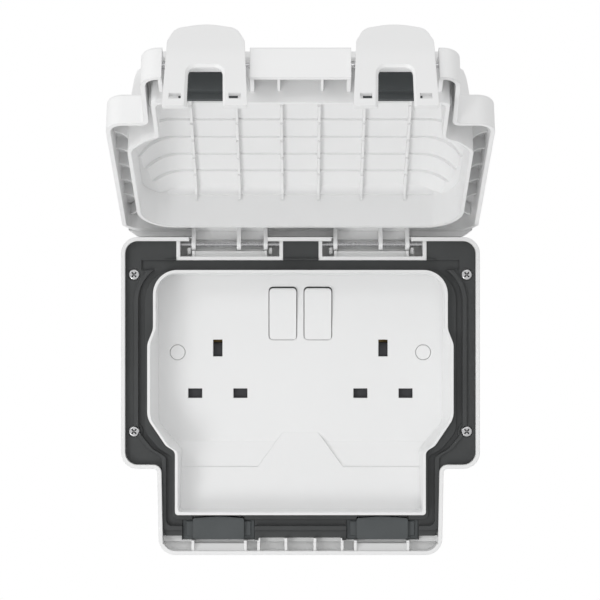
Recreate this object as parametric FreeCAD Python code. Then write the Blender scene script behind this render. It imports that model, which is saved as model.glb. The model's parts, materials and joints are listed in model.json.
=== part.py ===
"""Outdoor weatherproof double switched socket, lid open.

Frame: the wall is the plane y = 0, the front faces -Y, +Z is up, +X is right.
The origin is the centre of the wall fixings, on the wall face. Millimetres.
"""
import FreeCAD
import Part
import math
import os

V = FreeCAD.Vector

# Outline of the box, the frame and the lid
HALF_WIDTH = 86.7
TOP_Z = 56.1
STEP_Z = -55.9
NECK_INSET = 17.5
NECK_TAPER = 0.8
BOTTOM_Z = -97.5
CORNER_R = 8.0
STEP_R = 2.0

# Depths from the wall, along -Y
BOX_DEPTH = 36.0
BOX_WALL = 3.0
BOX_FLOOR = 3.0
KNOCKOUT_X = 40.0
KNOCKOUT_R = 10.2
KNOCKOUT_LINE = 0.7
KNOCKOUT_SINK = 0.8
FRAME_REACH = 22.0
FRAME_WALL = 1.9
DECK_SINK = 8.0
DECK_THICK = 2.5
SEAL_FIT = 0.3

# Gasket band
GASKET_THICK = 4.8
RIDGE_RISE = 1.2
RIDGE_WIDTH = 2.6
RIDGE_OFFSET = 2.3
GROOVE_SINK = 1.1
GROOVE_WIDTH = 3.0

# Tray that carries the two outlets
TRAY_INSET = 12.7
TRAY_TOP_INSET = 2.8
TRAY_TOP_GAP = 15.9
TRAY_WAIST_Z = 8.0
TRAY_NECK_INSET = 8.6
TRAY_LOW_GAP = 19.3
TRAY_WALL = 1.4
TRAY_TOP_R = 11.7
RECESS = 17.7
PLATE_THICK = 2.5
FLOOR_INSET = 4.3
FLOOR_NECK_INSET = 2.0
RAMP_TOP_Z = -39.2
RAMP_SIDE_Z = -43.6
RAMP_CREASE_Z = -56.0
RAMP_RISE = 8.5
RAMP_HALF_TOP = 8.6
RAMP_HALF_LOW = 20.9
RAMP_STEP = 0.6

# Outlets
GANG_X = 40.6
PIN_ROW_Z = -20.1
EARTH_RISE = 22.2
PIN_SPREAD = 22.2
LINE_SLOT = (6.9, 4.7)
EARTH_SLOT = (4.6, 8.3)

# Rocker switches
ROCKER_X = 8.6
ROCKER_Z = 19.1
ROCKER_SIZE = (13.3, 25.6)
ROCKER_GAP = 0.35
ROCKER_TILT = 5.0
ROCKER_PIVOT_BACK = 4.6
ROCKER_PIN_R = 1.2
ROCKER_PROUD = 1.0
FINGER = 4.9
SWITCH_WELL = 11.0

# Housing behind the plate, with its shutters, switches and terminals
HOUSING_DEPTH = 17.0
HOUSING = (54.0, 12.0, -34.5)
HOUSING_SKIN = 2.0
TRACK_DEPTH = 2.4
SHUTTER_THICK = 1.6
GATE_HALF = 3.1
STEM_HALF = 3.2
STEM_TOP = 19.0
LIP_TOP = 25.0
LINE_CLIP_SINK = 1.0        # from the shutter's track back to the clips behind it
EARTH_CLIP_SINK = 6.0
SPRING_SEAT_Z = -33.0
SPRING_R = 0.8
SPRING_WIRE = 0.16
SPRING_TURNS = 8
LEVER_HALF = 8.0
LEVER_TILT = 4.0
BAR_THICK = 1.0
TERMINAL_Z = -17.5
TERMINAL_SIZE = (8.0, 8.0, 9.0)
TERMINAL_SPREAD = 11.0
TERMINAL_SCREW_R = 1.45
WIRE_R = 2.2

# Fixing screws
PLATE_FIX_X = 60.3
CAP_R = 3.6
CAP_GAP = 0.2
PLATE_SCREW_R = 1.75
PLATE_SCREW_LENGTH = 16.0
PLATE_HEAD_R = 3.2
PLATE_HEAD_H = 0.6
INSERT_WALL = 0.95
INSERT_LENGTH = 13.8
CORNER_FIX_INSET = 6.1
CORNER_FIX_Z = 38.0
CORNER_HEAD_R = 2.55
CORNER_HEAD_H = 1.7
CORNER_HEAD_PROUD = 0.8
CORNER_SHANK_R = 1.5
CORNER_SCREW_LENGTH = 32.0
CORNER_BOSS_R = 4.2
CORNER_HOLE_SPARE = 6.0
WALL_BOSS = (5.5, 2.0)
WALL_FIX_X = 50.0
WALL_FIX_Z = 42.0
WALL_HOLE_R = 2.5
PILLAR_R = 4.5

# Hinge
HINGE_BACK = 8.3
HINGE_DROP = 3.3
PIN_R = 1.0
PIN_CLEAR = 0.06
LUG_R = 2.9
LUG_THICK = 2.0
OPEN_ANGLE = 113.3
POCKETS = ((-60.1, -8.4), (8.8, 61.1))
POCKET_HEIGHT = 11.1
POCKET_SINK = 2.7
POCKET_WALL = 1.8
POCKET_DEPTH = 15.0
PIN_SEAT = 1.0
SADDLE_ENDS = (5.3, 5.3)
SADDLE_DROP = (6.8, 2.0)
LUG_OFFSETS = (8.2, 30.2, 43.2)
NOTCH_SIDES = (6.2, 7.4)
SWING_R = 9.3

# Lid
LID_GAP = 0.3
SKIRT_HEIGHT = 15.2
LID_WALL = 2.0
INNER_INSET = 9.7
INNER_TOP_GAP = 13.9
INNER_TOP_R = 17.0
INNER_NECK_INSET = 5.6
INNER_LOW_GAP = 15.3
INNER_WALL = 1.8
TIP_REACH = 4.2
SECTION_R = 22.0
CAVITY_HEIGHT = 25.2
CREASE_S = 12.0
TERRACES = 5
TERRACE_PITCH = 13.0
TERRACE_RISER = 1.0
TERRACE_SLOPE = 0.1
SKIN = 2.4
RIB_X = (8.75, 29.5, 50.6)
RIB_THICK = 1.3
RIB_HEIGHT = 2.6
GUSSET_Z = (30.0, 14.0, -2.0, -18.0, -34.0)
GUSSET_THICK = 1.2
GUSSET_DIP = 6.6

# Latches
LATCH_INSET = 28.85
LATCH_WIDTH = 35.5
LATCH_THICK = 2.5
LATCH_TAIL = 6.6
LATCH_TOP = 33.7
LATCH_GAP = 1.0
LATCH_PIVOT = (17.0, 4.6)
LATCH_PIN_R = 1.25
CHEEK = 1.8
ARCH_WIDTH = 15.4
ARCH_TOP = 12.6
ARCH_R = 3.6
ARCH_BEVEL = 1.1
CATCH_SLOT = (5.0, 2.5)
CATCH_X = 12.6
CATCH_T = -1.7

# Cable seals
SEAL_OFFSET = 0.65
SEAL_WIDTH = 35.0
SEAL_TOP_GAP = 1.2
SEAL_LOW_GAP = 0.4
PAD_HALF = 12.4
PAD_HEIGHT = 5.4
SEAL_STEP = 1.6
SKIRT_HEIGHT_LOW = 6.9
SKIRT_WALL = 0.9
LEDGE_STEPS = (1.1, 2.0)
CHUTE_SINK = 1.6
WINDOW_HALF = 12.8
CELL_RIBS = (7.0, 20.2, 26.6, 52.0)

NECK_HALF = HALF_WIDTH - NECK_INSET
RIM_DEPTH = BOX_DEPTH + FRAME_REACH
DECK_FRONT = RIM_DEPTH - DECK_SINK
DECK_BACK = DECK_FRONT - DECK_THICK
TRAY_HALF = HALF_WIDTH - TRAY_INSET
TRAY_HALF_TOP = TRAY_HALF - TRAY_TOP_INSET
TRAY_TOP_Z = TOP_Z - TRAY_TOP_GAP
TRAY_NECK = NECK_HALF - TRAY_NECK_INSET
TRAY_BOTTOM_Z = BOTTOM_Z + TRAY_LOW_GAP
FLOOR_HALF = TRAY_HALF - FLOOR_INSET
FLOOR_NECK = TRAY_NECK - FLOOR_NECK_INSET
CORNER_FIX_X = HALF_WIDTH - CORNER_FIX_INSET
HINGE_Z = TOP_Z - HINGE_DROP
POCKET_LOW_Z = TOP_Z - POCKET_HEIGHT
POCKET_FRONT = RIM_DEPTH - POCKET_SINK
INNER_HALF = HALF_WIDTH - INNER_INSET
INNER_TOP_Z = TOP_Z - INNER_TOP_GAP
INNER_NECK = NECK_HALF - INNER_NECK_INSET
INNER_BOTTOM_Z = BOTTOM_Z + INNER_LOW_GAP
LATCH_X = NECK_HALF - LATCH_INSET
SEAL_X = LATCH_X - SEAL_OFFSET
SEAL_TOP_Z = TRAY_BOTTOM_Z - SEAL_TOP_GAP
SKIRT_LOW_Z = BOTTOM_Z + SKIRT_HEIGHT_LOW
SEAL_LOW_Z = SKIRT_LOW_Z + SEAL_LOW_GAP
PLATE_Y = -(RIM_DEPTH - RECESS)
HINGE_Y = -(RIM_DEPTH - HINGE_BACK)
LID_RIM_Y = -(RIM_DEPTH + LID_GAP)
GASKET_Y = -(DECK_FRONT + GASKET_THICK)
HOUSING_FRONT = PLATE_Y + PLATE_THICK
HOUSING_BACK = HOUSING_FRONT + HOUSING_DEPTH
CORNER_FACE_Y = GASKET_Y - CORNER_HEAD_PROUD
CORNER_SEAT_Y = CORNER_FACE_Y + CORNER_HEAD_H


def rounded_wire(corners, place):
    """Closed wire through (a, b, radius) corners; place(a, b) gives the point in space."""
    edges = []
    count = len(corners)
    ends = []
    for i, (a, b, r) in enumerate(corners):
        pa, pb = corners[i - 1][:2], corners[(i + 1) % count][:2]
        ua, ub = pa[0] - a, pa[1] - b
        wa, wb = pb[0] - a, pb[1] - b
        lu, lw = math.hypot(ua, ub), math.hypot(wa, wb)
        ua, ub, wa, wb = ua / lu, ub / lu, wa / lw, wb / lw
        half = math.acos(max(-1.0, min(1.0, ua * wa + ub * wb))) / 2
        if r <= 0 or abs(half - math.pi / 2) < 1e-6:
            ends.append(((a, b), None, (a, b)))
            continue
        run = r / math.tan(half)
        ma, mb = ua + wa, ub + wb
        lm = math.hypot(ma, mb)
        reach = r / math.sin(half) - r
        ends.append(((a + ua * run, b + ub * run), (a + ma / lm * reach, b + mb / lm * reach),
                     (a + wa * run, b + wb * run)))
    for i, (start, mid, end) in enumerate(ends):
        if mid is not None:
            edges.append(Part.Arc(place(*start), place(*mid), place(*end)).toShape())
        after = ends[(i + 1) % count][0]
        if math.hypot(after[0] - end[0], after[1] - end[1]) > 1e-6:
            edges.append(Part.LineSegment(place(*end), place(*after)).toShape())
    return Part.Wire(edges)


def front_prism(corners, y_back, y_front):
    """Solid between two depths whose outline lies in the X-Z plane."""
    face = Part.Face(rounded_wire(corners, lambda a, b: V(a, y_back, b)))
    return face.extrude(V(0, y_front - y_back, 0))


def side_prism(corners, x_low, x_high):
    """Solid between two x values whose outline lies in the Y-Z plane."""
    face = Part.Face(rounded_wire(corners, lambda a, b: V(x_low, a, b)))
    return face.extrude(V(x_high - x_low, 0, 0))


def both_sides(right):
    """Whole outline from the corners of its right side, listed from the top down."""
    return list(right) + [(-x, z, r) for x, z, r in reversed(right)]


def block(x0, x1, y0, y1, z0, z1):
    low = V(min(x0, x1), min(y0, y1), min(z0, z1))
    return Part.makeBox(abs(x1 - x0), abs(y1 - y0), abs(z1 - z0), low)


def rod(radius, x, z, y_back, y_front):
    """Cylinder along -Y."""
    return Part.makeCylinder(radius, y_back - y_front, V(x, y_back, z), V(0, -1, 0))


def rod_x(radius, x0, x1, y, z):
    return Part.makeCylinder(radius, x1 - x0, V(x0, y, z), V(1, 0, 0))


def join(shapes):
    first, rest = shapes[0], shapes[1:]
    return first.fuse(rest).removeSplitter() if rest else first


def body_outline(inset=0.0, bottom=BOTTOM_Z):
    r = max(CORNER_R - inset, 0.6)
    low = NECK_HALF - NECK_TAPER
    return both_sides([
        (HALF_WIDTH - inset, TOP_Z - inset, r),
        (HALF_WIDTH - inset, STEP_Z + inset, r),
        (NECK_HALF - inset, STEP_Z + inset, STEP_R + inset),
        (low - inset, bottom + inset, r),
    ])


def box_outline(inset=0.0):
    r = max(CORNER_R - inset, 0.6)
    return both_sides([(HALF_WIDTH - inset, TOP_Z - inset, r), (HALF_WIDTH - inset, STEP_Z + inset, r)])


def tray_outline(inset=0.0):
    return both_sides([
        (TRAY_HALF_TOP - inset, TRAY_TOP_Z - inset, max(TRAY_TOP_R - inset, 1.0)),
        (TRAY_HALF_TOP - inset, TRAY_WAIST_Z + 3.5, 8.0),
        (TRAY_HALF - inset, TRAY_WAIST_Z - 3.5, 8.0),
        (TRAY_HALF - inset, STEP_Z + 24.4, 10.0),
        (TRAY_NECK + 4.4 - inset, STEP_Z + 11.1, 6.0),
        (TRAY_NECK - inset, STEP_Z + 8.4, 3.0),
        (TRAY_NECK - inset, TRAY_BOTTOM_Z + inset, 1.5),
    ])


def floor_outline(inset=0.0):
    """Inside of the tray at the plate, with as many corners as the rim above it."""
    return both_sides([
        (FLOOR_HALF - inset, TRAY_TOP_Z - TRAY_WALL - 0.9 - inset, 8.0),
        (FLOOR_HALF - inset, TRAY_WAIST_Z + 3.5, 8.0),
        (FLOOR_HALF - 0.1 - inset, TRAY_WAIST_Z - 3.5, 8.0),
        (FLOOR_HALF - 0.1 - inset, STEP_Z + 21.9, 7.0),
        (FLOOR_NECK + 4.0 - inset, STEP_Z + 13.4, 6.0),
        (FLOOR_NECK - 0.6 - inset, STEP_Z + 8.4, 3.0),
        (FLOOR_NECK - 0.6 - inset, TRAY_BOTTOM_Z + 2.4 + inset, 1.5),
    ])


def groove_outline(offset=0.0):
    """Centre line of the lid's inner wall, which lands in the gasket's groove."""
    return both_sides([
        (INNER_HALF + offset, INNER_TOP_Z + offset, INNER_TOP_R + offset),
        (INNER_HALF + offset, STEP_Z + 17.9, 9.0),
        (INNER_HALF - 6.8 + offset, STEP_Z + 9.6, 5.0),
        (INNER_NECK + offset, STEP_Z + 5.6, 3.0),
        (INNER_NECK + offset, INNER_BOTTOM_Z - offset, 3.0),
    ])


def knockout(centre, inwards):
    """Shallow ring that marks a cable entry in the box's wall."""
    outer = Part.makeCylinder(KNOCKOUT_R, KNOCKOUT_SINK, centre, inwards)
    return outer.cut(Part.makeCylinder(KNOCKOUT_R - KNOCKOUT_LINE, KNOCKOUT_SINK, centre, inwards))


def make_back_box():
    box = front_prism(box_outline(), 0, -BOX_DEPTH)
    box = box.cut(front_prism(box_outline(BOX_WALL), -BOX_FLOOR, -BOX_DEPTH - 1))
    adds, holes = [], []
    for sx in (-1, 1):
        adds.append(rod(PILLAR_R, sx * PLATE_FIX_X, 0, -BOX_FLOOR + 0.5, HOUSING_FRONT))
        holes.append(rod(PLATE_SCREW_R + INSERT_WALL, sx * PLATE_FIX_X, 0,
                         -BOX_DEPTH / 2, HOUSING_FRONT - 1))
        for sz in (-1, 1):
            x, z = sx * CORNER_FIX_X, sz * CORNER_FIX_Z
            adds.append(rod(CORNER_BOSS_R, x, z, -BOX_FLOOR + 0.5, -BOX_DEPTH).fuse(
                block(x, sx * (HALF_WIDTH - BOX_WALL + 0.5), -BOX_FLOOR + 0.5, -BOX_DEPTH, z - 2, z + 2)))
            holes.append(rod(CORNER_SHANK_R, x, z, CORNER_SEAT_Y + CORNER_SCREW_LENGTH + CORNER_HOLE_SPARE,
                             -BOX_DEPTH - 1))
            x, z = sx * WALL_FIX_X, sz * WALL_FIX_Z
            adds.append(rod(WALL_BOSS[0], x, z, -BOX_FLOOR + 0.5, -BOX_FLOOR - WALL_BOSS[1]))
            holes.append(rod(WALL_HOLE_R, x, z, 1, -BOX_FLOOR - WALL_BOSS[1] - 1))
    box = join([box] + adds).cut(holes)
    rings = [knockout(V(x, -BOX_DEPTH / 2, z), V(0, 0, way))
             for x in (-KNOCKOUT_X, KNOCKOUT_X) for z, way in ((TOP_Z, -1), (STEP_Z, 1))]
    rings += [knockout(V(way * HALF_WIDTH, -BOX_DEPTH / 2, 0), V(-way, 0, 0)) for way in (-1, 1)]
    return box.cut(rings)


def make_box_seal():
    """Foam cord between the box and the frame, in a groove in the frame's back edge."""
    ring = front_prism(box_outline(1.2), -BOX_DEPTH, -BOX_DEPTH - 1.2)
    return ring.cut(front_prism(box_outline(2.4), -BOX_DEPTH + 1, -BOX_DEPTH - 2))


def pocket_box(x0, x1, grow, y_back, y_front, z_top):
    return block(x0 - grow, x1 + grow, y_back, y_front, POCKET_LOW_Z - grow, z_top)


def skirt_ledge(grow=0.0):
    """Thin ledge under the gasket, stepped down where the cable seals sit."""
    middle, outer = CELL_RIBS[1], SEAL_X + SEAL_WIDTH / 2 + SEAL_FIT
    low = SKIRT_LOW_Z - SKIRT_WALL - grow
    strips = [(-middle, middle, LEDGE_STEPS[0])]
    for a, b, lift in ((middle, outer, 0.0), (outer, NECK_HALF, LEDGE_STEPS[1])):
        strips += [(a, b, lift), (-b, -a, lift)]
    return [block(a - grow, b + grow, -DECK_BACK, -RIM_DEPTH + 0.6 - grow, low, SKIRT_LOW_Z + lift + grow)
            for a, b, lift in strips]


def cable_chutes():
    """Ramps below the cable seals that lead a cable out over the skirt."""
    low, high = BOTTOM_Z + FRAME_WALL, SKIRT_LOW_Z - SKIRT_WALL
    return [side_prism([(-DECK_BACK, low - 1, 0), (-RIM_DEPTH + CHUTE_SINK, low - 1, 0),
                        (-RIM_DEPTH + CHUTE_SINK, low, 0), (-DECK_FRONT - 3.4, high + 0.2, 0),
                        (-DECK_BACK, high + 0.2, 0)], x0, x1)
            for x0, x1 in ((-CELL_RIBS[3], -CELL_RIBS[2]), (CELL_RIBS[2], CELL_RIBS[3]))]


def make_front_frame():
    frame = front_prism(body_outline(), -BOX_DEPTH, -RIM_DEPTH)
    frame = frame.cut(front_prism(body_outline(FRAME_WALL), -DECK_FRONT, -RIM_DEPTH - 1))
    frame = frame.cut(front_prism(body_outline(BOX_WALL), -BOX_DEPTH + 1, -DECK_BACK))
    frame = frame.cut(front_prism(tray_outline(-0.2), -BOX_DEPTH, -RIM_DEPTH - 1))
    adds, holes = [], []
    inside = front_prism(body_outline(1.0), -BOX_DEPTH, -RIM_DEPTH)
    skirt = block(-NECK_HALF, NECK_HALF, -BOX_DEPTH, -DECK_FRONT, SKIRT_LOW_Z - FRAME_WALL, SKIRT_LOW_Z)
    adds += [a.common(inside) for a in [skirt] + skirt_ledge() + cable_chutes()]
    for x in CELL_RIBS:
        for sx in (-1, 1):
            rib = block(sx * x - 0.7, sx * x + 0.7, -BOX_DEPTH, -RIM_DEPTH + 0.8, BOTTOM_Z + 1, SKIRT_LOW_Z)
            adds.append(rib.common(inside))
    for sx in (-1, 1):
        for sz in (-1, 1):
            x, z = sx * CORNER_FIX_X, sz * CORNER_FIX_Z
            adds.append(rod(CORNER_BOSS_R, x, z, -BOX_DEPTH, CORNER_SEAT_Y).common(inside))
            holes.append(rod(CORNER_SHANK_R + 0.3, x, z, -BOX_DEPTH + 1, -RIM_DEPTH))
    for x0, x1 in POCKETS:
        holes.append(pocket_box(x0 + POCKET_WALL, x1 - POCKET_WALL, 0, -RIM_DEPTH + POCKET_DEPTH,
                                -RIM_DEPTH - 1, TOP_Z - FRAME_WALL).cut(
            block(x0, x1, -BOX_DEPTH, -RIM_DEPTH - 2, POCKET_LOW_Z, POCKET_LOW_Z + POCKET_WALL)))
        holes.append(block(x0 + NOTCH_SIDES[0], x1 - NOTCH_SIDES[1], -RIM_DEPTH + POCKET_DEPTH,
                           -RIM_DEPTH - 1, TOP_Z - FRAME_WALL - 1, TOP_Z + 1))
        adds.append(pocket_box(x0, x1, 0, -RIM_DEPTH + POCKET_DEPTH + 1.8, -POCKET_FRONT, TOP_Z - 1))
    catches = []
    for sx in (-1, 1):
        for side in (-1, 1):
            x = sx * LATCH_X + side * CATCH_X
            y = HINGE_Y - CATCH_T
            catches.append(side_prism([(y + 1.0, BOTTOM_Z + 1, 0), (y + 1.0, BOTTOM_Z - 0.5, 0.2),
                                       (y - 1.0, BOTTOM_Z, 0), (y - 1.0, BOTTOM_Z + 1, 0)],
                                      x - 2.0, x + 2.0))
    frame = join([frame] + adds)
    frame = frame.cut(holes)
    saddles = [block(x0 + SADDLE_ENDS[0], x1 - SADDLE_ENDS[1], -RIM_DEPTH + POCKET_DEPTH + 0.5,
                     HINGE_Y + LUG_R + 0.35, HINGE_Z - SADDLE_DROP[0], HINGE_Z - SADDLE_DROP[1])
               for x0, x1 in POCKETS]
    frame = join([frame] + saddles + catches)
    return frame.cut(make_hinge_pins() + [make_box_seal()])


def make_hinge_pins():
    """Steel pins seated in the pockets' side walls."""
    return [rod_x(PIN_R, x0 + POCKET_WALL - PIN_SEAT, x1 - POCKET_WALL + PIN_SEAT, HINGE_Y, HINGE_Z)
            for x0, x1 in POCKETS]


def make_frame_gasket():
    y0, y1 = -DECK_FRONT, GASKET_Y
    band = front_prism(body_outline(FRAME_WALL, SKIRT_LOW_Z - FRAME_WALL), y0, y1)
    ridge = front_prism(groove_outline(RIDGE_OFFSET + RIDGE_WIDTH / 2), y1, y1 - RIDGE_RISE).cut(
        front_prism(groove_outline(RIDGE_OFFSET - RIDGE_WIDTH / 2), y1 + 1, y1 - RIDGE_RISE - 1))
    clip = front_prism(body_outline(FRAME_WALL, SKIRT_LOW_Z - FRAME_WALL), y0, y1 - RIDGE_RISE)
    band = band.fuse(ridge.common(clip))
    groove = front_prism(groove_outline(GROOVE_WIDTH / 2), y1 + GROOVE_SINK, y1 - 3).cut(
        front_prism(groove_outline(-GROOVE_WIDTH / 2), y1 + GROOVE_SINK + 1, y1 - 4))
    cuts = [groove, front_prism(tray_outline(-0.05), y0 + 1, y1 - 4)]
    cuts.append(block(-INNER_HALF, INNER_HALF, y1 + GROOVE_SINK, y1 - 4, TRAY_TOP_Z, POCKET_LOW_Z))
    cuts += skirt_ledge(0.05)
    for x0, x1 in POCKETS:
        cuts.append(pocket_box(x0, x1, 0.05, y0 + 1, y1 - 4, TOP_Z))
    for sx in (-1, 1):
        for sz in (-1, 1):
            x, z = sx * CORNER_FIX_X, sz * CORNER_FIX_Z
            cuts.append(rod(CORNER_BOSS_R + 0.05, x, z, y0 + 1, CORNER_SEAT_Y - 0.05))
            cuts.append(rod(CORNER_HEAD_R + 0.25, x, z, y0 + 1, y1 - 4))
        x = sx * SEAL_X
        cuts.append(block(x - SEAL_WIDTH / 2, x + SEAL_WIDTH / 2, y0 + 1, y1 - 4,
                          SEAL_TOP_Z - SEAL_STEP + 0.1, SKIRT_LOW_Z - 1))
        cuts.append(block(x - PAD_HALF - 0.1, x + PAD_HALF + 0.1, y0 + 1, y1 - 4,
                          SEAL_TOP_Z + 0.45, SKIRT_LOW_Z - 1))
    return band.cut(cuts)


def slot_cutters():
    cuts = []
    y0, y1 = PLATE_Y + PLATE_THICK + 1, PLATE_Y - 1
    for sx in (-1, 1):
        x = sx * GANG_X
        for side in (-1, 1):
            px = x + side * PIN_SPREAD / 2
            cuts.append(block(px - LINE_SLOT[0] / 2, px + LINE_SLOT[0] / 2, y0, y1,
                              PIN_ROW_Z - LINE_SLOT[1] / 2, PIN_ROW_Z + LINE_SLOT[1] / 2))
        z = PIN_ROW_Z + EARTH_RISE
        cuts.append(block(x - EARTH_SLOT[0] / 2, x + EARTH_SLOT[0] / 2, y0, y1,
                          z - EARTH_SLOT[1] / 2, z + EARTH_SLOT[1] / 2))
        w, h = ROCKER_SIZE[0] / 2 + ROCKER_GAP, ROCKER_SIZE[1] / 2 + ROCKER_GAP
        rx = sx * ROCKER_X
        hole = [(rx - w, ROCKER_Z + h, 2.2), (rx + w, ROCKER_Z + h, 2.2),
                (rx + w, ROCKER_Z - h, 2.2), (rx - w, ROCKER_Z - h, 2.2)]
        cuts.append(front_prism(hole, y0, y1))
        cuts.append(rod(CAP_R + CAP_GAP, sx * PLATE_FIX_X, 0, PLATE_Y + 1.6, y1))
        cuts.append(rod(PLATE_SCREW_R + 0.2, sx * PLATE_FIX_X, 0, y0, y1))
    return cuts


def ramp(z_top, x_half_top, x_half_low, z_low, rise_at_low, sink):
    """Wedge on the tray floor that starts at z_top and comes forward towards z_low."""
    side = side_prism([(PLATE_Y + 1, z_top, 0), (PLATE_Y + sink, z_top, 0),
                       (PLATE_Y + sink - rise_at_low, z_low, 0), (PLATE_Y + 1, z_low, 0)], -80, 80)
    plan = front_prism([(-x_half_top, z_top, 0), (x_half_top, z_top, 0),
                        (x_half_low, z_low, 0), (-x_half_low, z_low, 0)], PLATE_Y + 2, PLATE_Y - 20)
    return side.common(plan)


def make_socket_plate():
    back = PLATE_Y + PLATE_THICK
    tray = front_prism(tray_outline(), back, -RIM_DEPTH - 0.6)
    rim = rounded_wire(tray_outline(TRAY_WALL), lambda a, b: V(a, -RIM_DEPTH - 0.6, b))
    floor = rounded_wire(floor_outline(), lambda a, b: V(a, PLATE_Y, b))
    tray = tray.cut(Part.makeLoft([floor, rim], True, True))
    slope = RAMP_RISE / (RAMP_TOP_Z - TRAY_BOTTOM_Z)
    crease_rise = slope * (RAMP_TOP_Z - RAMP_CREASE_Z)
    keep = front_prism(tray_outline(0.3), back, -RIM_DEPTH)
    adds = [
        ramp(RAMP_TOP_Z, RAMP_HALF_TOP, RAMP_HALF_LOW, RAMP_CREASE_Z, crease_rise, 0.0),
        ramp(RAMP_SIDE_Z, 75, 75, RAMP_CREASE_Z, crease_rise - RAMP_STEP, 0.0),
        side_prism([(PLATE_Y + 1, RAMP_CREASE_Z, 0), (PLATE_Y - crease_rise, RAMP_CREASE_Z, 0),
                    (PLATE_Y - RAMP_RISE, TRAY_BOTTOM_Z + 0.2, 0), (PLATE_Y + 1, TRAY_BOTTOM_Z + 0.2, 0)],
                   -75, 75),
    ]
    tray = join([tray] + [a.common(keep) for a in adds])
    return tray.cut(slot_cutters())


def pozidriv(radius, depth, x, z, y_face):
    """Cross recess for a screw head whose top face is at y_face."""
    arms = []
    for angle in (45, 135):
        arm = block(-radius, radius, 0, depth, -radius * 0.22, radius * 0.22)
        arm.rotate(V(0, 0, 0), V(0, 1, 0), angle)
        arm.translate(V(x, y_face, z))
        arms.append(arm)
    return arms


def screw(head_r, head_h, shank_r, length, x, z, y_face):
    """Domed screw along Y with its head's top at y_face and its point towards the wall."""
    head = rod(head_r, x, z, y_face + head_h, y_face)
    head = head.makeFillet(head_h * 0.35, [e for e in head.Edges if abs(e.CenterOfMass.y - y_face) < 1e-3])
    shank = rod(shank_r, x, z, y_face + head_h + length, y_face + head_h)
    return head.fuse(shank).removeSplitter().cut(pozidriv(head_r * 0.62, head_h * 0.6, x, z, y_face))


def make_corner_screws():
    return [screw(CORNER_HEAD_R, CORNER_HEAD_H, CORNER_SHANK_R - 0.02, CORNER_SCREW_LENGTH,
                  sx * CORNER_FIX_X, sz * CORNER_FIX_Z, CORNER_FACE_Y) for sx in (-1, 1) for sz in (-1, 1)]


def make_screw_caps():
    caps = []
    for sx in (-1, 1):
        cap = rod(CAP_R, sx * PLATE_FIX_X, 0, PLATE_Y + 0.9, PLATE_Y - 0.15)
        caps.append(cap)
    return caps


def make_plate_screws():
    return [screw(PLATE_HEAD_R, PLATE_HEAD_H, PLATE_SCREW_R, PLATE_SCREW_LENGTH, sx * PLATE_FIX_X, 0,
                  PLATE_Y + 1.0) for sx in (-1, 1)]


def make_plate_inserts():
    """Brass bushes in the box's pillars that take the plate screws."""
    front = HOUSING_FRONT + 2.0
    back = front + INSERT_LENGTH
    return [rod(PLATE_SCREW_R + INSERT_WALL, sx * PLATE_FIX_X, 0, back, front).cut(
        rod(PLATE_SCREW_R, sx * PLATE_FIX_X, 0, back + 1.0, front - 1.0)) for sx in (-1, 1)]


def make_rocker(sx):
    """Rocker with its lower end proud, on a pivot pin behind the plate."""
    w, h = ROCKER_SIZE[0] / 2, ROCKER_SIZE[1] / 2
    x = sx * ROCKER_X
    pivot_y = PLATE_Y + ROCKER_PIVOT_BACK
    prow = PLATE_Y - ROCKER_PROUD
    profile = [(pivot_y - 2.4, ROCKER_Z + h, 0), (prow + 0.35, ROCKER_Z + h, 0.8),
               (prow, ROCKER_Z, 0), (prow + 0.35, ROCKER_Z - h, 0.8), (pivot_y - 2.4, ROCKER_Z - h, 0)]
    cap = side_prism(profile, x - w, x + w)
    plan = [(x - w, ROCKER_Z + h, 1.9), (x + w, ROCKER_Z + h, 1.9),
            (x + w, ROCKER_Z - h, 1.9), (x - w, ROCKER_Z - h, 1.9)]
    cap = cap.common(front_prism(plan, pivot_y + 2, prow - 3))
    axle = rod_x(ROCKER_PIN_R, x - w + 1.2, x + w - 1.2, pivot_y, ROCKER_Z)
    hub = block(x - 3.4, x + 3.4, pivot_y + 0.6, pivot_y - 2.8, ROCKER_Z - 2.4, ROCKER_Z + 2.4)
    finger = block(x - 1.4, x + 1.4, pivot_y + FINGER, pivot_y, ROCKER_Z - 1.0, ROCKER_Z + 1.0)
    rocker = join([cap, hub, finger, axle])
    rocker.rotate(V(x, pivot_y, ROCKER_Z), V(1, 0, 0), ROCKER_TILT)
    return rocker


def pin_centres(sx):
    """X-Z centres of an outlet's neutral, live and earth ways, seen from the front."""
    x = sx * GANG_X
    return {"neutral": (x - PIN_SPREAD / 2, PIN_ROW_Z), "live": (x + PIN_SPREAD / 2, PIN_ROW_Z),
            "earth": (x, PIN_ROW_Z + EARTH_RISE)}


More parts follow.
